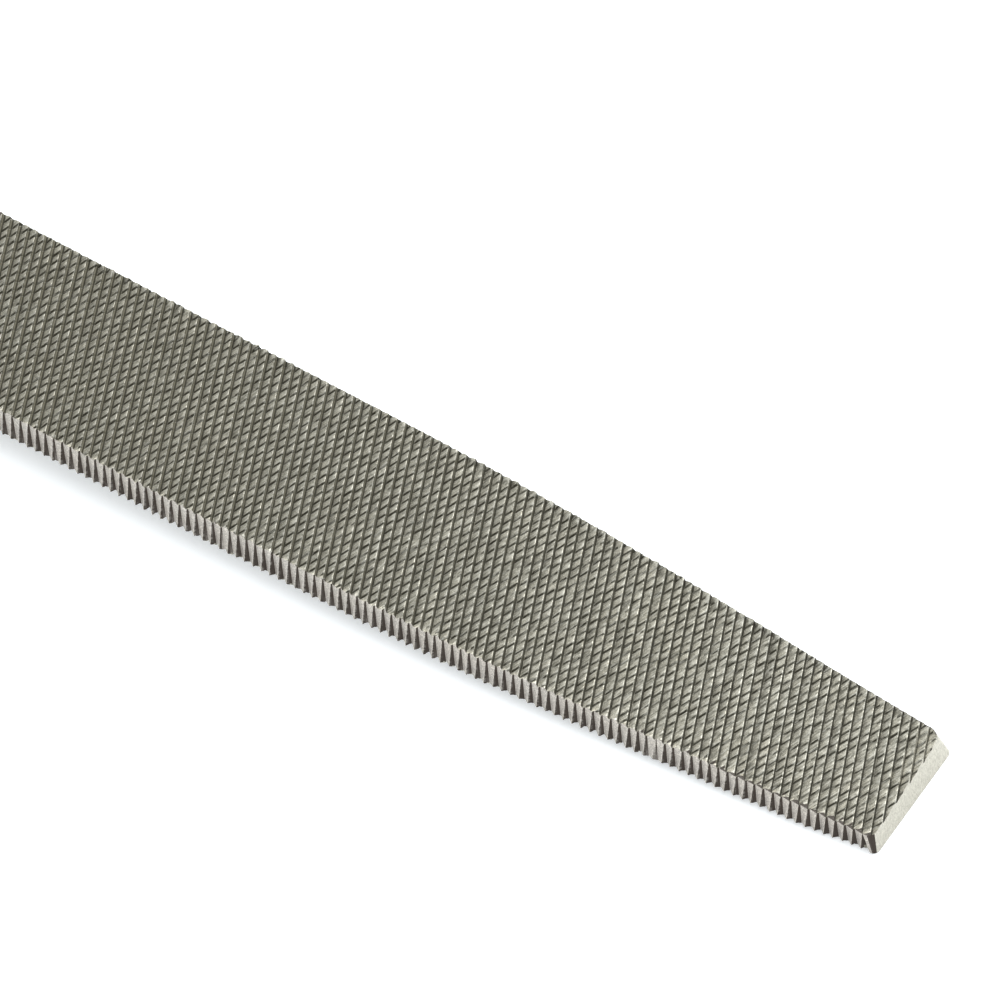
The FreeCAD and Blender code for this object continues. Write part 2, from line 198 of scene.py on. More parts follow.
def tooth_surface(rng, end_fade):
    """X, Y and Z of a double-cut face, in rows along the upcut and columns along the overcut.

    Cells lie between neighbouring grooves. The teeth run out over the last end_fade millimetres
    before the point.
    """
    up_count = int((LENGTH * UP_NORMAL[0] + HALF_WIDTH) / UP_SPACING) + 4
    over_low = -int((HALF_WIDTH + 4) / OVER_SPACING)
    over_high = int((LENGTH * OVER_NORMAL[0] + HALF_WIDTH) / OVER_SPACING) + 3
    ups = np.arange(FIRST_UP, up_count)
    overs = np.arange(over_low, over_high)

    up_steps, over_steps = len(OVER_CARRIED), len(OVER_STOPS)
    k = np.tile(np.arange(up_steps), len(ups))[:, None]
    l = np.tile(np.arange(over_steps), len(overs))[None, :]
    shape = (len(ups) * up_steps, len(overs) * over_steps)
    up_cell = np.broadcast_to(np.repeat(ups, up_steps)[:, None], shape)
    over_cell = np.broadcast_to(np.repeat(overs, over_steps)[None, :], shape)
    over_index = over_cell - over_low
    toward = toward_point(plan_of(up_cell, over_cell)[0])

    def per_cell(scale):
        """One random value for every cell of the lattice."""
        table = rng.normal(0, scale, (up_count + 2, len(overs) + 2))
        return table[up_cell, over_index]

    # how far each station lies into its cell, across the upcut (u) and across the overcut (v)
    crest = CREST_AT + CREST_SHIFT * toward + per_cell(0.012)
    foot = np.zeros_like(crest)
    stops = np.stack((foot, foot + 0.10, foot + 0.42, crest - 0.06, crest, (crest + 1) / 2))
    u = np.take_along_axis(stops, np.broadcast_to(k, shape)[None], 0)[0]
    u = u + rng.normal(0, 0.012, u.shape) * (k >= CREST_STATION)
    v = np.broadcast_to(OVER_STOPS[l], shape)

    up_line = rng.normal(0, 0.03, up_count + 3)
    over_line = rng.normal(0, 0.03, len(overs) + 3)
    lean = np.where(k < up_steps - 1, u, crest / 2) - CREST_AT / 2
    a = up_cell + u + up_line[up_cell] * (1 - u) + up_line[up_cell + 1] * u
    b = over_cell + v + over_line[over_index] * (1 - v) + over_line[over_index + 1] * v
    b = b + OVER_LEAN * lean
    x, y = plan_of(a, b)

    up_depth = (UP_DEPTH + UP_DEEPER * toward) * (1 + per_cell(0.05))
    over_depth = OVER_DEPTH * (1 - OVER_SHALLOWER * toward)
    over_depth = over_depth * (1 + per_cell(1.0) * (0.08 + 0.08 * toward))
    ramp, front = u / crest, (1 - u) / (1 - crest)
    height = up_depth * (np.minimum(ramp, front) - 1)
    height = height + over_depth * OVER_PROFILE[l] * OVER_CARRIED[k] - np.abs(per_cell(0.02))

    from_border = half_width(x) - np.abs(y)
    height = height * (0.5 + 0.5 * smooth(from_border / BORDER))
    height = height * smooth((LENGTH - x) / end_fade)
    burr = (from_border < BORDER + 0.05) & (per_cell(1.0) > BURR_ABOVE)
    height = height + np.where(burr, BURR, 0.0) * (k >= 2)
    return x, y, half_thickness(x) + height + rng.normal(0, 0.006, height.shape)


def tooth_slab(x, y, z):
    """The stretch of a tooth surface that covers the blade, closed down to SLAB_BOTTOM."""
    rows, columns = x.shape
    quads = grid_faces(rows, columns)
    x, y, z = x.ravel(), y.ravel(), z.ravel()
    centre_x = x[quads].mean(1)
    centre_y = y[quads].mean(1)
    over_blade = np.abs(centre_y) < half_width(centre_x) + 0.7
    quads = quads[over_blade & (centre_x < LENGTH + 0.9) & (centre_x > -2)]
    used, quads = np.unique(quads, return_inverse=True)
    quads = quads.reshape(-1, 4)
    top = np.stack((x[used], y[used], z[used]), 1)
    bottom = top.copy()
    bottom[:, 2] = SLAB_BOTTOM
    count = len(used)
    # boundary edges are the ones that only one quad uses
    edges = np.concatenate([quads[:, [i, (i + 1) % 4]] for i in range(4)])
    _, where, counts = np.unique(np.sort(edges, 1), axis=0, return_index=True, return_counts=True)
    rim = edges[where[counts == 1]]
    walls = np.stack((rim[:, 1], rim[:, 0], rim[:, 0] + count, rim[:, 1] + count), 1)
    under = quads[:, ::-1] + count
    return np.concatenate((top, bottom)), np.concatenate((quads, under, walls))


# ---------------------------------------------------------------- edges of the blade
EDGE_FROM = 4.0
EDGE_PITCH = 0.995
# depth of an edge groove at the lower face, and at the upper face on the near and the far side
EDGE_DEPTH = 0.38
EDGE_SHALLOW = (0.15, 0.06)
# levels of a half: 0 at the middle plane, 1 at the face
CHAMFER_LEVEL = 0.86
LEVELS = (0.0, 0.25, 0.5, CHAMFER_LEVEL, 1.0, 1.5)
# the edge is eased by CHAMFER_HEEL all along, and by CHAMFER more towards the point
CHAMFER_RUN = 26.0
CHAMFER = 0.26
CHAMFER_HEEL = 0.05
# near the point the lower face is ground further over to the far side, and the blade has a set
LEAN_RUN = 9.0
LEANS = (0.45, 0.85)
SET_FROM = 120.0
SET = 0.15
# plan radius of the point's corners at the lower face, and what grinding adds to it higher up,
# near side and far side
CORNERS = (0.6, 0.3)
CORNERS_ABOVE = (0.5, 1.3)
# the end face is ground a little askew: X at its upper edge, and how far its lower edge stands out
END_UPPER = 199.65
END_OUT = 0.78
END_OUT_SKEW = 0.25
# half width, start and height of what cuts the halves out, where it stays clear of the blade
CLEAR_WIDTH = 14
CLEAR_START = -70
CLEAR_HEIGHT = 4


def edge_teeth(rng):
    """The teeth of one edge: X of every crest, the depth weight of its groove, its wear."""
    count = int((LENGTH - CORNERS[0] - EDGE_FROM) / EDGE_PITCH)
    crest = EDGE_FROM + EDGE_PITCH * (np.arange(count) + 0.5) + rng.normal(0, 0.02, count)
    depth = 1 + rng.normal(0, 0.1, count)
    drop = np.abs(rng.normal(0, 0.02, count))
    return crest, depth, drop


def chamfered(level):
    """0 up to CHAMFER_LEVEL, then rising evenly, through 1 at the face."""
    return np.clip((level - CHAMFER_LEVEL) / (1 - CHAMFER_LEVEL), 0, None)


def leaning(x, lean, down):
    """How far a side stands further out near the point: nothing above, all of lean below."""
    return lean * down * smooth((x - LENGTH + LEAN_RUN) / LEAN_RUN)


def side_points(teeth, level, down, shallow):
    """Outline of one edge at a level of the half blade, from the heel to the end of the teeth.

    down runs from 0 at the upper face to 1 at the lower face: the chisel marks are narrow and
    shallow above and wide and deep below.
    """
    crest, depth, drop = teeth
    groove = (shallow + (EDGE_DEPTH - shallow) * down) * depth
    groove = groove * smooth((crest - EDGE_FROM) / 3)
    behind = 0.12 + 0.40 * down
    top = crest - 0.05 * down
    stations = (top - 0.05, top, top + behind * 0.5, top + behind, top + behind + 0.07)
    inset = (drop + 0.012, drop, groove * 0.62, groove, groove * 0.97)
    x = np.stack(stations, 1).ravel()
    w = half_width(x) - np.stack(inset, 1).ravel()
    chamfer = CHAMFER * smooth((x - LENGTH + CHAMFER_RUN) / CHAMFER_RUN) + CHAMFER_HEEL
    return x, w - chamfer * chamfered(level)


def side_outline(side, teeth, level, down):
    """X and half width of one whole side at a level: heel, edge teeth and the point's corner."""
    arc = np.linspace(0, math.pi / 2, 9)
    sign = (-1, 1)[side]
    corner = CORNERS[side] + CORNERS_ABOVE[side] * (1 - down)
    end = END_UPPER + down * (END_OUT + sign * END_OUT_SKEW)
    lean = sign * LEANS[side]
    x, w = side_points(teeth, level, down, EDGE_SHALLOW[side])
    corner_x = end - corner + corner * np.sin(arc)
    corner_w = half_width(LENGTH - corner) - (CHAMFER + CHAMFER_HEEL) * chamfered(level)
    corner_w = corner_w - corner * (1 - np.cos(arc)) + leaning(corner_x, lean, down)
    w = w + leaning(x, lean, down)
    x = np.minimum(x, end - corner)
    x = np.concatenate(((CLEAR_START, EDGE_FROM - 2, EDGE_FROM - 1.9), x, corner_x))
    return x, np.concatenate(((CLEAR_WIDTH, CLEAR_WIDTH, HALF_WIDTH), w, corner_w))


def edge_prism(sides, upper):
    """The blade's plan outline with its edge teeth, as a closed prism over one half."""
    rings = []
    for level in LEVELS:
        z_share = level if upper else -level
        down = np.clip((1 - z_share) / 2, 0, 1)
        ring = []
        for side, teeth in enumerate(sides):
            x, w = side_outline(side, teeth, level, down)
            z = z_share * half_thickness(np.minimum(x, LENGTH))
            ring.append(np.stack((x, (-1, 1)[side] * w, z), 1))
        near, far = ring
        rings.append(np.concatenate((near, far[::-1])))
    around = len(rings[0])
    i = np.arange(around // 2 - 1)
    cap = np.stack((i, around - 1 - i, around - 2 - i, i + 1), 1)
    lid = cap[:, ::-1] + around * (len(LEVELS) - 1)
    faces = np.concatenate((grid_faces(len(LEVELS), around, wrap=True), cap, lid))
    if not upper:
        faces = faces[:, ::-1]
    return np.concatenate(rings), faces


# ---------------------------------------------------------------- heel and tang
# the CAD blade is drawn in a little under the teeth, then its heel is widened to meet theirs
HEEL_FIT = Matrix.Diagonal((1, 0.993, 0.982, 1))
HEEL_WIDER = 0.04
HEEL_RUN = 9.0
EASE = 0.22


def point_coords(mesh):
    co = np.empty(len(mesh.vertices) * 3, np.float32)
    mesh.vertices.foreach_get("co", co)
    return co.reshape(-1, 3)


def eased_cad_blade():
    """A copy of the CAD blade in the file's own frame, with its sharp edges eased."""
    mesh = frame["nodes"]["file_blade"].data.copy()
    mesh.transform(PLACE.inverted())
    mesh.transform(Matrix.Diagonal((1 / MM, 1 / MM, 1 / MM, 1)))
    obj = bpy.data.objects.new("heel_half", mesh)
    bpy.context.scene.collection.objects.link(obj)
    mesh.materials.clear()
    weld = obj.modifiers.new("weld", "WELD")
    weld.merge_threshold = 1e-3
    flat = obj.modifiers.new("flat", "DECIMATE")
    flat.decimate_type = "DISSOLVE"
    flat.angle_limit = math.radians(0.3)
    bevel = obj.modifiers.new("ease", "BEVEL")
    bevel.width = EASE
    bevel.segments = 3
    bevel.angle_limit = math.radians(35)
    dg = bpy.context.evaluated_depsgraph_get()
    made = bpy.data.meshes.new_from_object(obj.evaluated_get(dg))
    obj.modifiers.clear()
    obj.data = made
    made.transform(HEEL_FIT)
    co = point_coords(made)
    co[:, 1] *= 1 + HEEL_WIDER * smooth((co[:, 0] + HEEL_RUN) / HEEL_RUN)
    made.vertices.foreach_set("co", co.ravel())
    return obj


def heel_and_tang(upper):
    """One half of the CAD blade, cut off along the first groove."""
    obj = eased_cad_blade()
    stop = (FIRST_UP + HEEL_SHARE) * UP_SPACING
    slant = UP_NORMAL[1] if upper else -UP_NORMAL[1]
    near, far = ((stop - slant * y) / UP_NORMAL[0] for y in (-CLEAR_WIDTH, CLEAR_WIDTH))
    plan = (
        (CLEAR_START, -CLEAR_WIDTH),
        (near, -CLEAR_WIDTH),
        (far, CLEAR_WIDTH),
        (CLEAR_START, CLEAR_WIDTH),
    )
    levels = (0, CLEAR_HEIGHT) if upper else (-CLEAR_HEIGHT, 0)
    verts = np.array([(x, y, z) for z in levels for x, y in plan])
    walls = [(i, (i + 1) % 4, (i + 1) % 4 + 4, i + 4) for i in range(4)]
    faces = np.array([(3, 2, 1, 0), (4, 5, 6, 7), *walls])
    return combine(obj, mesh_object("cutter", verts, faces), "INTERSECT")


# ---------------------------------------------------------------- the blade's two halves
EDGE_RNG = np.random.default_rng(5)
EDGE_SIDES = [edge_teeth(EDGE_RNG), edge_teeth(EDGE_RNG)]
# the teeth run out over these distances before the end face, above and below
END_FADES = (0.05, 1.2)
# the chamfer near the point gets almost as much painted shade as the front of a tooth
EASED_FRONT = 0.85
# places of the blade's materials after that of the cut faces
ON_EDGE, AT_END, PLAIN = 1, 2, 3


def blade_half(name, seed, upper):
    end_fade = END_FADES[0] if upper else END_FADES[1]
    verts, faces = tooth_slab(*tooth_surface(np.random.default_rng(seed), end_fade))
    if not upper:
        verts[:, 1:] *= -1
    half = mesh_object(name, verts, faces)
    half = combine(half, heel_and_tang(upper), "UNION")
    return combine(half, mesh_object("prism", *edge_prism(EDGE_SIDES, upper)), "INTERSECT")


def attribute(mesh, name, values, domain="POINT"):
    layer = mesh.attributes.new(name, "FLOAT", domain)
    layer.data.foreach_set("value", np.ascontiguousarray(values, np.float32))


def mark_points(mesh, co):
    """Point attributes: depth below the uncut blade, place in the lattice of teeth, and the highest points, which
    the materials mark as wear and as a painted highlight.
    """
    x, y, z = co.T
    below_face = half_thickness(np.clip(x, 0, LENGTH)) - np.abs(z)
    below_edge = half_width(np.clip(x, 0, LENGTH)) - np.abs(y)
    toward = toward_point(x)
    own_y = y * (1 if z.mean() > 0 else -1)
    worn_glint_face = np.clip((0.085 - below_face) / 0.065, 0, 1) * (0.5 + 0.5 * toward)
    worn_glint_edge = np.clip((0.05 - below_edge) / 0.05, 0, 1) * 0.3
    attribute(mesh, "below_face", np.clip(below_face, 0, 1))
    attribute(mesh, "below_edge", np.clip(below_edge, 0, 1))
    attribute(mesh, "cell_a", (x * UP_NORMAL[0] + own_y * UP_NORMAL[1]) / UP_SPACING)
    attribute(mesh, "cell_b", (x * OVER_NORMAL[0] + own_y * OVER_NORMAL[1]) / OVER_SPACING)
    attribute(mesh, "crest_at", CREST_AT + CREST_SHIFT * toward)
    attribute(mesh, "worn_glint_face", worn_glint_face)
    attribute(mesh, "worn_glint_edge", worn_glint_edge)


def mark_faces(mesh):
    """Material areas, and the face attributes that place painted shade and highlights: front of a tooth, and side
    of an overcut mark.
    """
    count = len(mesh.polygons)
    centre = np.empty(count * 3, np.float32)
    normal = np.empty(count * 3, np.float32)
    mesh.polygons.foreach_get("center", centre)
    mesh.polygons.foreach_get("normal", normal)
    centre = centre.reshape(-1, 3)
    normal = normal.reshape(-1, 3)
    x, y, z = centre.T
    half_sign = np.where(z > 0, 1, -1)
    up_slant = np.where(z > 0, UP_NORMAL[1], -UP_NORMAL[1])
    face_depth = half_thickness(np.clip(x, 0, LENGTH)) - np.abs(z)
    edge_depth = half_width(np.clip(x, 0, LENGTH)) - np.abs(y)

    # where each material goes: the cut faces are what remains
    upright = np.abs(normal[:, 2])
    on_edge = (edge_depth < 0.75) & (upright < 0.35) & (edge_depth < face_depth + 0.1)
    outward = normal[:, 1] * np.sign(y)
    eased = (edge_depth < 0.6) & (outward > 0.4) & (x > LENGTH - CHAMFER_RUN) & ~on_edge
    at_end = (x > LENGTH - 0.5) & (normal[:, 0] > 0.95)
    far_corner = (x > LENGTH - 2.4) & (y > 0) & (normal[:, 0] > 0.3) & (upright < 0.6)
    plain = x * UP_NORMAL[0] + y * up_slant < (FIRST_UP + HEEL_SHARE + 0.01) * UP_SPACING
    index = np.zeros(count, np.int32)
    index[on_edge | eased] = ON_EDGE
    index[at_end | far_corner] = AT_END
    index[plain & ~(on_edge & (x > EDGE_FROM))] = PLAIN

    # the fronts of the teeth and the steep sides of the overcut marks face away from the lights: the materials
    # paint shade on them, and a highlight on the overcut sides that face back
    up_side = normal[:, 0] * UP_NORMAL[0] + normal[:, 1] * UP_NORMAL[1] * half_sign
    face_front = smooth((up_side - 0.35) / 0.3)
    edge_front = smooth((normal[:, 0] - 0.3) / 0.2)
    front = np.where(on_edge, edge_front, face_front * (1 - 0.3 * toward_point(x)))
    over_side = normal[:, 0] * OVER_NORMAL[0] + normal[:, 1] * OVER_NORMAL[1] * half_sign
    attribute(mesh, "front", np.where(eased, EASED_FRONT, front), "FACE")
    attribute(mesh, "stroke", over_side * (1 - face_front), "FACE")
    return index


def finish_blade(obj):
    """Attributes and material areas of a blade half, worked out from where each point lies."""
    mesh = obj.data
    co = point_coords(mesh)
    mark_points(mesh, co)
    index = mark_faces(mesh)
    mesh.materials.clear()
    for material in (CUT_FACE, CUT_EDGE, GROUND_END, PLAIN_STEEL):
        mesh.materials.append(material)
    mesh.polygons.foreach_set("material_index", index)
    mesh.shade_flat()
    co[:, 1] += SET * smooth((co[:, 0] - SET_FROM) / (LENGTH - SET_FROM))
    mesh.vertices.foreach_set("co", co.ravel())
    mesh.transform(Matrix.Diagonal((MM, MM, MM, 1)))
    obj.matrix_world = PLACE
    return obj


# ---------------------------------------------------------------- materials
STREAK_PALE = (0.55, 0.535, 0.47)
STREAK_DARK = (0.13, 0.125, 0.10)
# colour of the lines of painted shade behind each crest and at the foot of each tooth
LINE_DARK = (0.035, 0.033, 0.024)


class Nodes:
    """A short way to write a node tree."""

    def __init__(self, name):
        self.material = bpy.data.materials.new(name)
        self.material.use_nodes = True
        self.tree = self.material.node_tree
        self.tree.nodes.clear()
        self.out = self.tree.nodes.new("ShaderNodeOutputMaterial")
        self.shader = self.tree.nodes.new("ShaderNodeBsdfPrincipled")
        self.link(self.shader.outputs[0], self.out.inputs["Surface"])

    def link(self, a, b):
        self.tree.links.new(a, b)

    def put(self, socket, value):
        if isinstance(value, bpy.types.NodeSocket):
            self.link(value, socket)
        else:
            socket.default_value = value

    def add(self, kind, **inputs):
        node = self.tree.nodes.new("ShaderNode" + kind)
        for name, value in inputs.items():
            self.put(node.inputs[name.replace("_", " ")], value)
        return node

    def coords(self, scale=(1, 1, 1), turn=0.0):
        """Object coordinates in millimetres, turned about Z and stretched by scale."""
        source = self.tree.nodes.new("ShaderNodeTexCoord").outputs["Object"]
        mapping = self.tree.nodes.new("ShaderNodeMapping")
        if turn:
            turned_axes = self.tree.nodes.new("ShaderNodeVectorRotate")
            turned_axes.rotation_type = "Z_AXIS"
            turned_axes.inputs["Angle"].default_value = -turn
            self.link(source, turned_axes.inputs["Vector"])
            source = turned_axes.outputs["Vector"]
        self.link(source, mapping.inputs["Vector"])
        mapping.inputs["Scale"].default_value = tuple(s / MM for s in scale)
        return mapping.outputs["Vector"]

    def noise(self, where, scale, detail=3.0, rough=0.55):
        node = self.tree.nodes.new("ShaderNodeTexNoise")
        self.link(where, node.inputs["Vector"])
        node.inputs["Scale"].default_value = scale
        node.inputs["Detail"].default_value = detail
        node.inputs["Roughness"].default_value = rough
        return node.outputs["Fac"]

    def remap(self, value, low, high, to_low=0.0, to_high=1.0):
        node = self.tree.nodes.new("ShaderNodeMapRange")
        self.put(node.inputs["Value"], value)
        for i, number in zip((1, 2, 3, 4), (low, high, to_low, to_high)):
            node.inputs[i].default_value = number
        return node.outputs["Result"]

    def math(self, operation, a, b=0.0):
        node = self.tree.nodes.new("ShaderNodeMath")
        node.operation = operation
        self.put(node.inputs[0], a)
        self.put(node.inputs[1], b)
        return node.outputs[0]

    def mix(self, factor, a, b):
        node = self.tree.nodes.new("ShaderNodeMix")
        node.data_type = "RGBA"
        self.put(node.inputs[0], factor)
        for socket, value in ((node.inputs[6], a), (node.inputs[7], b)):
            self.put(socket, value if isinstance(value, bpy.types.NodeSocket) else (*value, 1))
        return node.outputs[2]

    def attribute(self, name):
        node = self.tree.nodes.new("ShaderNodeAttribute")
        node.attribute_name = name
        return node.outputs["Fac"]

    def bump(self, height, distance, strength=1.0):
        node = self.tree.nodes.new("ShaderNodeBump")
        node.inputs["Distance"].default_value = distance * MM
        node.inputs["Strength"].default_value = strength
        self.link(height, node.inputs["Height"])
        self.link(node.outputs["Normal"], self.shader.inputs["Normal"])

    def finish(self, **inputs):
        for name, value in inputs.items():
            self.put(self.shader.inputs[name.replace("_", " ")], value)
        return self.material


def scaled(colour, *factors):
    """A colour made lighter or darker, by one factor or by one for each channel."""
    return tuple(c * f for c, f in zip(colour, factors if len(factors) == 3 else factors * 3))


def cut_lines(n, colour, crest):
    """Marks of the chisel on a face: streaks along the overcut, a painted highlight on each crest, and lines of
    painted shade behind it and at the foot.
    """
    a = n.attribute("cell_a")
    inside = n.math("FRACT", a)
    past_crest = n.math("SUBTRACT", inside, n.attribute("crest_at"))
    worn = n.remap(n.attribute("crest_at"), CREST_AT, CREST_AT + CREST_SHIFT)

    # streaks on the ramp behind each tooth
    askew = n.math("MULTIPLY_ADD", inside, -OVER_LEAN)
    n.link(n.attribute("cell_b"), askew.node.inputs[2])
    drawn = n.add("CombineXYZ", X=n.math("MULTIPLY", a, 0.8), Y=n.math("MULTIPLY", askew, 4.2))
    streak = n.noise(drawn.outputs[0], 1.0, 2.0, 0.6)
    on_ramp = n.math("MULTIPLY", n.remap(past_crest, 0.03, 0.0), n.remap(worn, 0.0, 1.0, 0.45, 1.0))
    pale = n.math("MULTIPLY", n.remap(streak, 0.53, 0.66, 0.0, 0.6), on_ramp)
    dark = n.math("MULTIPLY", n.remap(streak, 0.46, 0.34, 0.0, 0.75), on_ramp)
    colour = n.mix(pale, colour, STREAK_PALE)
    colour = n.mix(dark, colour, STREAK_DARK)

    # a broken painted highlight on the crest, and lines of painted shade behind it and at the foot
    broken = n.remap(n.noise(n.coords(), 3.6, 2.0), 0.47, 0.60)
    top = n.math("MULTIPLY", n.remap(past_crest, -0.09, -0.04), n.remap(past_crest, 0.03, 0.0))
    top = n.math("MULTIPLY", top, n.remap(worn, 0.0, 1.0, 0.35, 0.85))
    colour = n.mix(n.math("MULTIPLY", top, broken), colour, crest)
    behind = n.math("MULTIPLY", n.remap(past_crest, 0.01, 0.03), n.remap(past_crest, 0.12, 0.08))
    foot = n.math("MAXIMUM", n.remap(inside, 0.10, 0.05), n.remap(inside, 0.88, 0.92))
    line = n.math("MAXIMUM", n.math("MULTIPLY", behind, 0.6), n.math("MULTIPLY", foot, 0.82))
    return n.mix(line, colour, LINE_DARK)


def cut_steel(name, depth_name, worn_glint_name, land, groove, crest, front, double_cut):
    """Steel of the teeth: lands, grooves darker with depth, painted shade on the fronts of the teeth, and painted
    highlights on the worn crests.
    """
    n = Nodes(name)
    on_face = 1.0 if double_cut else 0.0
    where = n.coords()
    fine = n.noise(where, 5.0, 4.0, 0.6)
    grain = n.noise(where, 9.0, 2.0, 0.7)
    streak = n.noise(n.coords((0.5, 5.5, 4.0), OVER_ANGLE), 1.0, 3.0, 0.6)
    patch = n.noise(where, 0.11, 2.0)
    deep = n.remap(n.attribute(depth_name), 0.06, 0.36)
    stroke = n.remap(n.attribute("stroke"), 0.38, 0.62)
    lit = n.math("MULTIPLY", n.remap(n.attribute("stroke"), -0.5, -0.7), on_face)

    colour = n.mix(n.remap(patch, 0.35, 0.65), land, scaled(land, 1.04, 0.98, 0.90))
    colour = n.mix(n.remap(fine, 0.3, 0.75), colour, scaled(land, 0.74))
    colour = n.mix(n.remap(streak, 0.5, 0.68, 0.0, 0.8), colour, scaled(land, 1.5))
    colour = n.mix(n.remap(streak, 0.48, 0.36, 0.0, 0.7), colour, scaled(land, 0.5))
    colour = n.mix(deep, colour, groove)
    colour = n.mix(n.remap(grain, 0.52, 0.68, 0.0, 0.55), colour, scaled(land, 1.9))
    colour = n.mix(n.remap(grain, 0.48, 0.32, 0.0, 0.65), colour, scaled(land, 0.3))
    # painted highlight on the sides of the overcut marks that face the back light
    colour = n.mix(n.math("MULTIPLY", lit, 0.4), colour, crest)
    # painted shade on the fronts of the teeth, which face away from the lights
    colour = n.mix(n.math("MULTIPLY", n.attribute("front"), 0.97), colour, front)
    # painted shade on the steep sides of the overcut marks
    colour = n.mix(n.math("MULTIPLY", stroke, on_face), colour, scaled(front, 0.3))
    # the highest points, as wear and as a painted highlight, get specks of the crest colour
    speck = n.remap(n.noise(where, 2.2, 2.0), 0.48, 0.56)
    colour = n.mix(n.math("MULTIPLY", n.attribute(worn_glint_name), speck), colour, crest)
    if double_cut:
        crest_at = n.attribute("crest_at")
        held = n.remap(crest_at, CREST_AT, CREST_AT + CREST_SHIFT, 1.0, 0.6)
        stroke = n.math("MULTIPLY", stroke, held)
        colour = cut_lines(n, colour, crest)

    n.bump(n.math("ADD", fine, streak), 0.03, 0.7)
    # the sides with painted shade are also made duller and less metallic
    painted_shade_mask = n.math("MAXIMUM", n.attribute("front"), n.math("MULTIPLY", stroke, on_face))
    metal = n.remap(painted_shade_mask, 0.0, 1.0, 0.85, 0.25)
    rough = n.remap(fine, 0.25, 0.75, 0.38, 0.56)
    rough = n.math("MAXIMUM", rough, n.remap(painted_shade_mask, 0.0, 1.0, 0.0, 0.75))
    shine = n.remap(painted_shade_mask, 0.0, 1.0, 0.3, 0.08)
    return n.finish(Base_Color=colour, Metallic=metal, Roughness=rough, Specular_IOR_Level=shine)


def ground_steel():
    """The end face, ground bright with a coarse wheel."""
    n = Nodes("ground_end")
    strokes = n.noise(n.coords((1.0, 3.6, 1.1)), 1.2, 3.0, 0.7)
    grain = n.noise(n.coords(), 7.0, 3.0, 0.7)
    colour = n.mix(n.remap(strokes, 0.38, 0.62), (0.50, 0.475, 0.40), (0.37, 0.35, 0.29))
    colour = n.mix(n.remap(grain, 0.45, 0.62, 0.0, 0.6), colour, (0.60, 0.575, 0.495))
    colour = n.mix(n.remap(grain, 0.45, 0.32, 0.0, 0.6), colour, (0.27, 0.255, 0.21))
    n.bump(n.math("ADD", strokes, grain), 0.02, 0.5)
    rough = n.remap(strokes, 0.3, 0.7, 0.38, 0.5)
    return n.finish(Base_Color=colour, Metallic=0.6, Roughness=rough)


def plain_steel():
    """Heel and tang: ground along the axis, dulled by hardening and a faint blue-brown temper."""
    n = Nodes("plain_steel")
    streaks = n.noise(n.coords((0.25, 4.0, 4.0)), 1.2, 4.0, 0.65)
    cloud = n.noise(n.coords((0.06, 0.2, 0.2)), 1.0, 3.0)
    colour = n.mix(n.remap(streaks, 0.3, 0.7), (0.30, 0.29, 0.27), (0.22, 0.21, 0.20))
    colour = n.mix(n.remap(cloud, 0.45, 0.75), colour, (0.20, 0.17, 0.14))
    rough = n.remap(streaks, 0.3, 0.7, 0.34, 0.5)
    n.bump(streaks, 0.02, 0.4)
    return n.finish(Base_Color=colour, Metallic=0.9, Roughness=rough)


def ferrule_steel():
    """Bright steel with fine turning marks round the axis."""
    n = Nodes("ferrule_steel")
    turned = n.noise(n.coords((9.0, 0.35, 0.35)), 1.0, 3.0, 0.6)
    haze = n.noise(n.coords(), 0.25, 3.0)
    colour = n.mix(n.remap(turned, 0.3, 0.7), (0.46, 0.455, 0.44), (0.39, 0.385, 0.375))
    colour = n.mix(n.remap(haze, 0.5, 0.8), colour, (0.33, 0.325, 0.31))
    rough = n.remap(haze, 0.3, 0.7, 0.24, 0.36)
    n.bump(turned, 0.01, 0.4)
    return n.finish(Base_Color=colour, Metallic=1.0, Roughness=rough)


def beech():
    """Turned beech with its short dark rays, under a thin clear lacquer."""
    n = Nodes("handle_wood")
    where = n.coords((0.012, 0.10, 0.16))
    drift = n.noise(n.coords((0.01, 0.05, 0.05)), 1.0, 2.0)
    rings = n.tree.nodes.new("ShaderNodeTexWave")
    rings.wave_type = "BANDS"
    rings.bands_direction = "Z"
    n.link(where, rings.inputs["Vector"])
    rings.inputs["Scale"].default_value = 0.9
    rings.inputs["Distortion"].default_value = 4.0
    rings.inputs["Detail"].default_value = 2.0
    rings.inputs["Detail Scale"].default_value = 0.8
    fibre = n.noise(n.coords((0.10, 2.2, 2.2)), 1.0, 4.0, 0.65)
    rays = n.noise(n.coords((0.45, 3.4, 3.4)), 1.0, 1.0, 0.4)
    colour = n.mix(rings.outputs["Fac"], (0.42, 0.235, 0.105), (0.33, 0.165, 0.066))
    colour = n.mix(n.remap(drift, 0.35, 0.7), colour, (0.39, 0.205, 0.085))
    colour = n.mix(n.remap(fibre, 0.45, 0.8, 0.0, 0.6), colour, (0.26, 0.12, 0.045))
    colour = n.mix(n.remap(rays, 0.62, 0.70, 0.0, 0.75), colour, (0.18, 0.075, 0.028))
    rough = n.remap(fibre, 0.3, 0.7, 0.30, 0.42)
    n.bump(fibre, 0.03, 0.4)
    return n.finish(Base_Color=colour, Roughness=rough, Coat_Weight=0.35, Coat_Roughness=0.18)


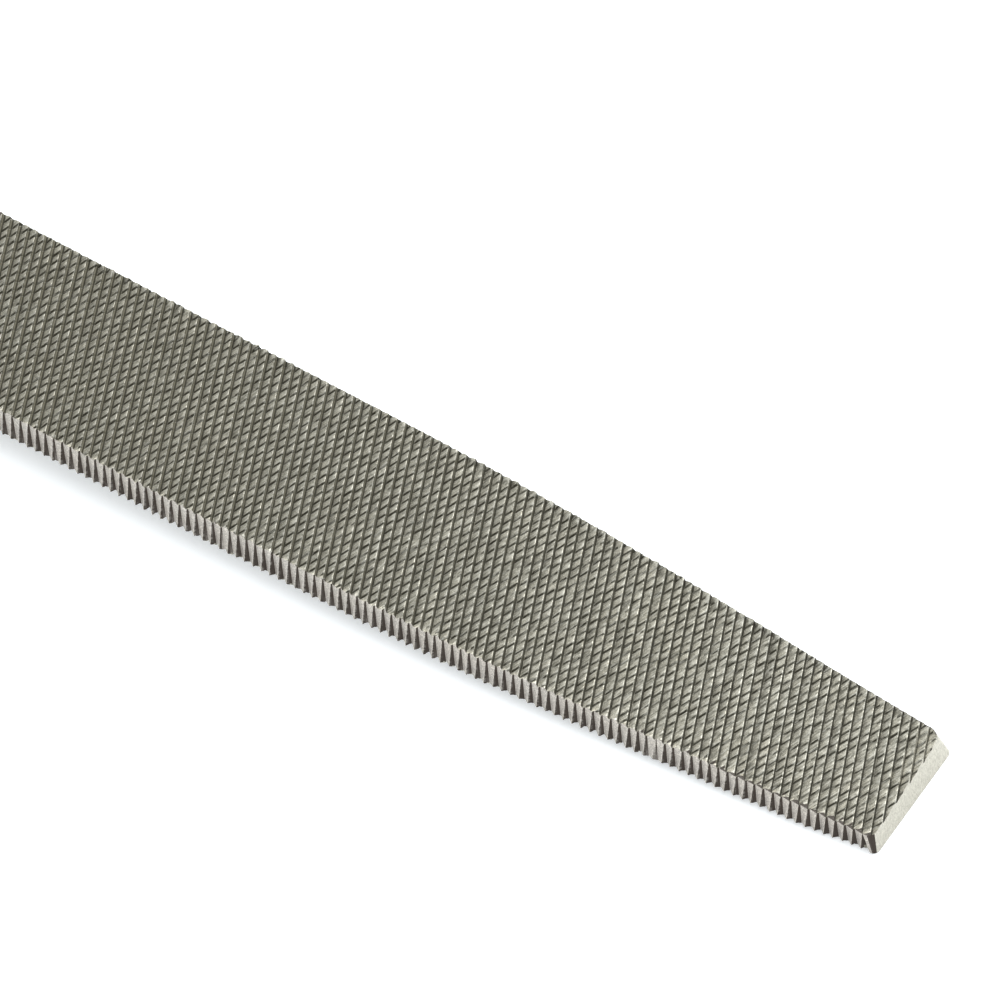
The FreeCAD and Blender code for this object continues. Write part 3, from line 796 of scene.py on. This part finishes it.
# crest is the colour of the painted highlights and worn specks, front that of the painted shade on the fronts of
# the teeth
CUT_FACE = cut_steel(
    "cut_face",
    depth_name="below_face",
    worn_glint_name="worn_glint_face",
    land=(0.345, 0.331, 0.276),
    groove=(0.275, 0.261, 0.213),
    crest=(0.66, 0.64, 0.565),
    front=(0.160, 0.147, 0.108),
    double_cut=True,
)
CUT_EDGE = cut_steel(
    "cut_edge",
    depth_name="below_edge",
    worn_glint_name="worn_glint_edge",
    land=(0.47, 0.44, 0.395),
    groove=(0.38, 0.345, 0.31),
    crest=(0.80, 0.76, 0.70),
    front=(0.035, 0.026, 0.020),
    double_cut=False,
)
GROUND_END = ground_steel()
PLAIN_STEEL = plain_steel()
FERRULE_STEEL = ferrule_steel()
HANDLE_WOOD = beech()

# ---------------------------------------------------------------- blade
for name, seed, upper in (("blade_upper", 11, True), ("blade_lower", 23, False)):
    half = finish_blade(blade_half(name, seed, upper))
    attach(half, "blade_body")
    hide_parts("file_blade")
    print(name, len(half.data.polygons), "faces")

# ---------------------------------------------------------------- turned parts
SEGMENTS = 192
ANGLES = np.linspace(0, 2 * math.pi, SEGMENTS, endpoint=False)
QUARTER = np.linspace(0, math.pi / 2, 8)


def turned(profile):
    """Surface of revolution about X through (x, radius) stations, one ring each."""
    profile = np.asarray(profile, float)
    x = np.repeat(profile[:, :1], SEGMENTS, 1)
    r = np.repeat(profile[:, 1:], SEGMENTS, 1)
    return np.stack((x, r * np.sin(ANGLES), r * np.cos(ANGLES)), -1)


def ring_object(name, rings, closed_profile, material):
    """Rings of points joined into a skin. closed_profile joins the last ring to the first."""
    rows, columns = rings.shape[:2]
    faces = grid_faces(rows, columns, wrap=True)
    if closed_profile:
        c = np.arange(columns)
        n = (c + 1) % columns
        last = (rows - 1) * columns
        faces = np.concatenate((faces, np.stack((last + c, last + n, n, c), 1)))
    obj = mesh_object(name, rings.reshape(-1, 3) * MM, faces)
    obj.data.materials.append(material)
    obj.data.shade_smooth()
    obj.data.set_sharp_from_angle(angle=math.radians(38))
    obj.matrix_world = PLACE
    return obj


def rounded(x, radius, size, turns):
    """Stations of a convex rounding that starts on the face at x and ends at the radius."""
    return [(x - size * (1 - math.cos(t)), radius - size * (1 - math.sin(t))) for t in turns]


# ---------------------------------------------------------------- ferrule
FERRULE_FRONT = -14.0
FERRULE_REAR = -30.0
FERRULE_R = 9.75
FERRULE_WALL = 0.9
LIP_R = 6.75
LIP_ROUND = 0.8
DIMPLE_X = -25.0
DIMPLE_NOSE = 2.4
DIMPLE_DEPTH = 0.5


def ferrule_rings():
    """The sleeve: its outside from the lip to the rear with two dimples, then its inside."""
    inner_front = FERRULE_FRONT - FERRULE_WALL
    inner_r = FERRULE_R - FERRULE_WALL
    barrel = np.linspace(FERRULE_FRONT - LIP_ROUND - 0.2, FERRULE_REAR + 0.15, 62)
    outer = rounded(FERRULE_FRONT, FERRULE_R, LIP_ROUND, QUARTER)
    outer += [(x, FERRULE_R) for x in barrel]
    outer += [(FERRULE_REAR + 0.04, FERRULE_R - 0.03), (FERRULE_REAR, FERRULE_R - 0.12)]
    inner = [
        (FERRULE_REAR, inner_r),
        (inner_front, inner_r),
        (inner_front, LIP_R + 0.08),
        (inner_front + 0.08, LIP_R),
        (FERRULE_FRONT - 0.14, LIP_R),
        (FERRULE_FRONT - 0.04, LIP_R + 0.04),
        (FERRULE_FRONT, LIP_R + 0.14),
    ]
    rings = turned(outer + inner)
    skin = rings[: len(outer)]
    # a dimple is the print of a ball on either side
    from_nose = (skin[..., 0] - DIMPLE_X) ** 2 + skin[..., 2] ** 2
    ball = np.sqrt(np.clip(DIMPLE_NOSE**2 - from_nose, 0, None))
    dent = FERRULE_R + DIMPLE_NOSE - DIMPLE_DEPTH - ball
    dented = (from_nose < DIMPLE_NOSE**2) & (np.abs(skin[..., 1]) > dent)
    skin[..., 1] = np.where(dented, np.sign(skin[..., 1]) * dent, skin[..., 1])
    return rings


ferrule = ring_object("ferrule_skin", ferrule_rings()[::-1], True, FERRULE_STEEL)
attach(ferrule, "handle_body")
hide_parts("ferrule")

# ---------------------------------------------------------------- handle
WOOD_FRONT = -14.9
SPIGOT_R = 8.85
SHOULDER_R = 10.35
EDGE_ROUND = 0.5
BELLY_X = -86.0
BELLY_R = 15.5
BUTT = -124.0
BUTT_R = 13.0
# half sizes of the tang where it leaves the heel and at its end, and the play round it
TANG_ROOT = -9.0
TANG_END = -60.0
TANG_ROOT_WIDTH = 4.5
TANG_END_WIDTH = 2.1
TANG_END_THICKNESS = 1.2
SOCKET_GAP = 0.12
SOCKET_END_GAP = 3.0

# a hollow and a belly of equal curvature, then an arc that touches the belly and the dome
bend_x = (FERRULE_REAR - BELLY_X) / 2
bend_r = (BELLY_R - SHOULDER_R) / 2
BEND = (bend_x**2 + bend_r**2) / (2 * bend_r)
DOME_X = BUTT + BUTT_R
dome_run = BELLY_X - DOME_X
BACK_BEND = (dome_run**2 + BELLY_R**2 - BUTT_R**2) / (2 * (BELLY_R - BUTT_R))
DOME_JOIN = DOME_X - BUTT_R * dome_run / (BACK_BEND - BUTT_R)


def wood_radius(x):
    if x > (FERRULE_REAR + BELLY_X) / 2:
        return SHOULDER_R + BEND - math.sqrt(BEND**2 - (FERRULE_REAR - x) ** 2)
    if x > BELLY_X:
        return BELLY_R - BEND + math.sqrt(BEND**2 - (x - BELLY_X) ** 2)
    if x > DOME_JOIN:
        return BELLY_R - BACK_BEND + math.sqrt(BACK_BEND**2 - (x - BELLY_X) ** 2)
    return math.sqrt(BUTT_R**2 - (x - DOME_X) ** 2)


def grip_profile():
    """Stations of the wood's outside, from the front of the spigot to the butt."""
    profile = [(WOOD_FRONT, SPIGOT_R - 0.15), (WOOD_FRONT - 0.15, SPIGOT_R)]
    profile += [(FERRULE_REAR + 0.1, SPIGOT_R), (FERRULE_REAR, SPIGOT_R + 0.1)]
    profile += [(FERRULE_REAR, SHOULDER_R - EDGE_ROUND)]
    profile += rounded(FERRULE_REAR, SHOULDER_R, EDGE_ROUND, QUARTER[1:])
    grip = np.linspace(FERRULE_REAR - 2 * EDGE_ROUND, DOME_JOIN, 70)
    profile += [(x, wood_radius(x)) for x in grip]
    join_angle = math.acos((DOME_X - DOME_JOIN) / BUTT_R)
    for t in np.linspace(join_angle, 0, 22)[1:]:
        profile.append((DOME_X - BUTT_R * math.cos(t), max(BUTT_R * math.sin(t), 0.02)))
    return profile


def socket_ring(x, half_y, half_z):
    """A rectangle with as many points as a ring, facing the same angles."""
    dy, dz = np.sin(ANGLES), np.cos(ANGLES)
    reach = 1 / np.maximum(np.abs(dy) / half_y, np.abs(dz) / half_z)
    return np.stack((np.full(SEGMENTS, x), dy * reach, dz * reach), -1)


def socket_rings():
    """The tapered socket, from its bottom to its mouth."""
    width_share = (WOOD_FRONT - TANG_END) / (TANG_ROOT - TANG_END)
    thickness_share = (WOOD_FRONT - TANG_END) / -TANG_END
    end_y = TANG_END_WIDTH + SOCKET_GAP
    end_z = TANG_END_THICKNESS + SOCKET_GAP
    mouth_y = end_y + (TANG_ROOT_WIDTH - TANG_END_WIDTH) * width_share
    mouth_z = end_z + (HALF_THICKNESS - TANG_END_THICKNESS) * thickness_share
    bottom = TANG_END - SOCKET_END_GAP
    rings = (
        socket_ring(bottom, 0.01, 0.01),
        socket_ring(bottom, end_y, end_z),
        socket_ring((bottom + WOOD_FRONT) / 2, (end_y + mouth_y) / 2, (end_z + mouth_z) / 2),
        socket_ring(WOOD_FRONT - 0.3, mouth_y, mouth_z),
        socket_ring(WOOD_FRONT, mouth_y + 0.2, mouth_z + 0.2),
    )
    return np.stack(rings)


rings = np.concatenate((socket_rings(), turned(grip_profile())))
handle = ring_object("handle_grip", rings, False, HANDLE_WOOD)
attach(handle, "handle_body")
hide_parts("handle")

# ---------------------------------------------------------------- stage
FLOOR = 3.0
corners = [(x * FLOOR, y * FLOOR, 0) for x, y in ((-1, -1), (1, -1), (1, 1), (-1, 1))]
floor = mesh_object("floor", np.array(corners), np.array([(0, 1, 2, 3)]))
n = Nodes("floor")
tone = n.noise(n.coords(), 0.004, 2.0)
floor.data.materials.append(
    n.finish(
        Base_Color=n.mix(tone, (0.80, 0.81, 0.82), (0.82, 0.825, 0.83)),
        Roughness=0.8,
        Emission_Color=(0.97, 0.99, 1.0, 1),
        Emission_Strength=0.36,
    )
)

world = bpy.data.worlds.new("studio")
bpy.context.scene.world = world
world.use_nodes = True
sky = world.node_tree.nodes["Background"].inputs
sky["Color"].default_value = (0.93, 0.97, 1.0, 1)
sky["Strength"].default_value = 1.25


def area_light(name, direction, distance, size, power, colour):
    """A soft rectangular light in a direction from the origin, facing it. Metres and watts."""
    data = bpy.data.lights.new(name, "AREA")
    data.shape = "RECTANGLE"
    data.size, data.size_y = size
    data.energy = power
    data.color = colour
    obj = bpy.data.objects.new(name, data)
    bpy.context.scene.collection.objects.link(obj)
    direction = Vector(direction).normalized()
    obj.location = direction * distance
    obj.rotation_euler = direction.to_track_quat("Z", "Y").to_euler()


area_light("back_light", (-0.35, 0.75, 0.75), 1.6, (1.6, 0.8), 18.0, (1.0, 0.99, 0.97))
area_light("top_light", (0.2, -0.1, 1.0), 1.8, (1.0, 1.0), 8.0, (1.0, 1.0, 1.0))

# ---------------------------------------------------------------- camera
AZIMUTH = 30.48
ELEVATION = 56.61
DISTANCE = 1012.0
LENS = 358.9
# the point of the file's own frame in the middle of the picture, mm
TARGET = (LENGTH - 52.37, 8.62, 0.0)
az, el = math.radians(AZIMUTH), math.radians(ELEVATION)
back = Vector((math.sin(az) * math.cos(el), -math.cos(az) * math.cos(el), math.sin(el)))
camera = bpy.data.objects.new("camera", bpy.data.cameras.new("camera"))
bpy.context.scene.collection.objects.link(camera)
camera.data.lens = LENS
camera.data.sensor_width = 36.0
camera.data.clip_start = 0.05
camera.data.clip_end = 50.0
camera.location = PLACE @ (Vector(TARGET) * MM) + back * DISTANCE * MM
camera.rotation_euler = back.to_track_quat("Z", "Y").to_euler()
bpy.context.scene.camera = camera
bpy.context.scene.view_settings.view_transform = "Standard"
